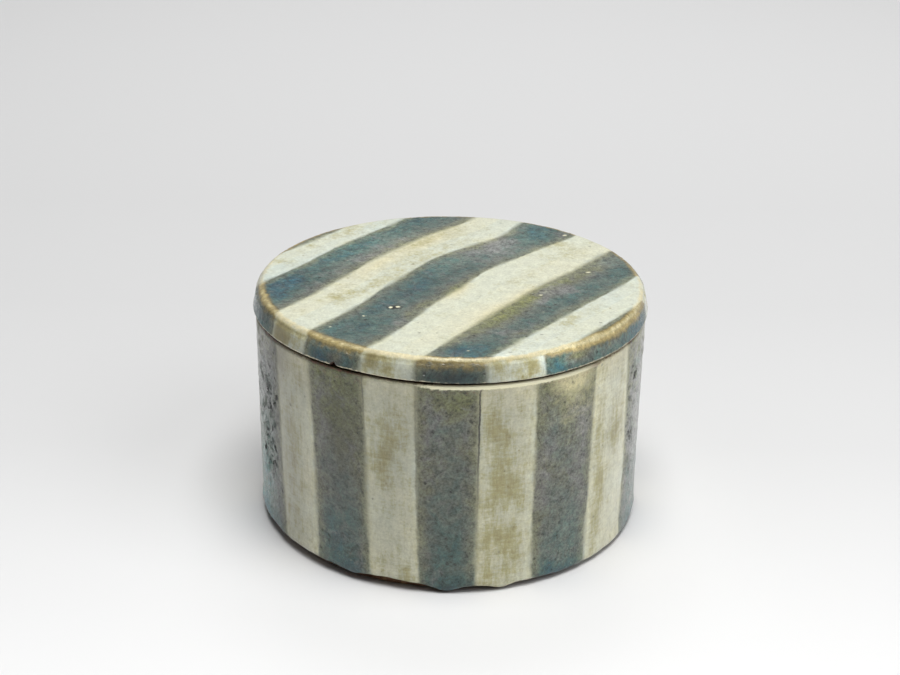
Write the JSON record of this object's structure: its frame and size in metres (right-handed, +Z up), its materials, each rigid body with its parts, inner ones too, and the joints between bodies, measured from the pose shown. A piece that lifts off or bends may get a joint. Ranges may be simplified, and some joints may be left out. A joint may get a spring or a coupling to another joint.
{
  "type": "box",
  "caption": "Round stoneware box with an upright wall, a recessed foot ring and a shallow lid that drops over an inner collar and sits flush with the wall; broad striped glaze.",
  "frame": {"origin": "on the table, at the middle of the foot ring", "axes": "+Z up through the lid, -Y towards the front of the picture, +X to its right"},
  "size_m": [0.1896, 0.1896, 0.1173],
  "materials": {
    "striped_glaze": "satin to glossy wood-ash glaze in broad blue-grey and cream stripes, pitted on the dark stripes, ochre where it thins over edges",
    "inner_glaze": "plain cream glaze, satin, with a few iron specks",
    "bare_clay": "matt unglazed brown stoneware with fine grit"
  },
  "bodies": {
    "box": {"foot_ring": "bare_clay", "floor_slab": "inner_glaze", "wall": "striped_glaze", "rim_collar": "bare_clay"},
    "lid": {"lid_skirt": "striped_glaze", "lid_plate": "striped_glaze"}
  },
  "joints": [
    {"name": "lid_lift", "type": "slide", "parent": "box", "child": "lid", "axis": [0, 0, 1], "range_m": [0, 0.12]}
  ]
}
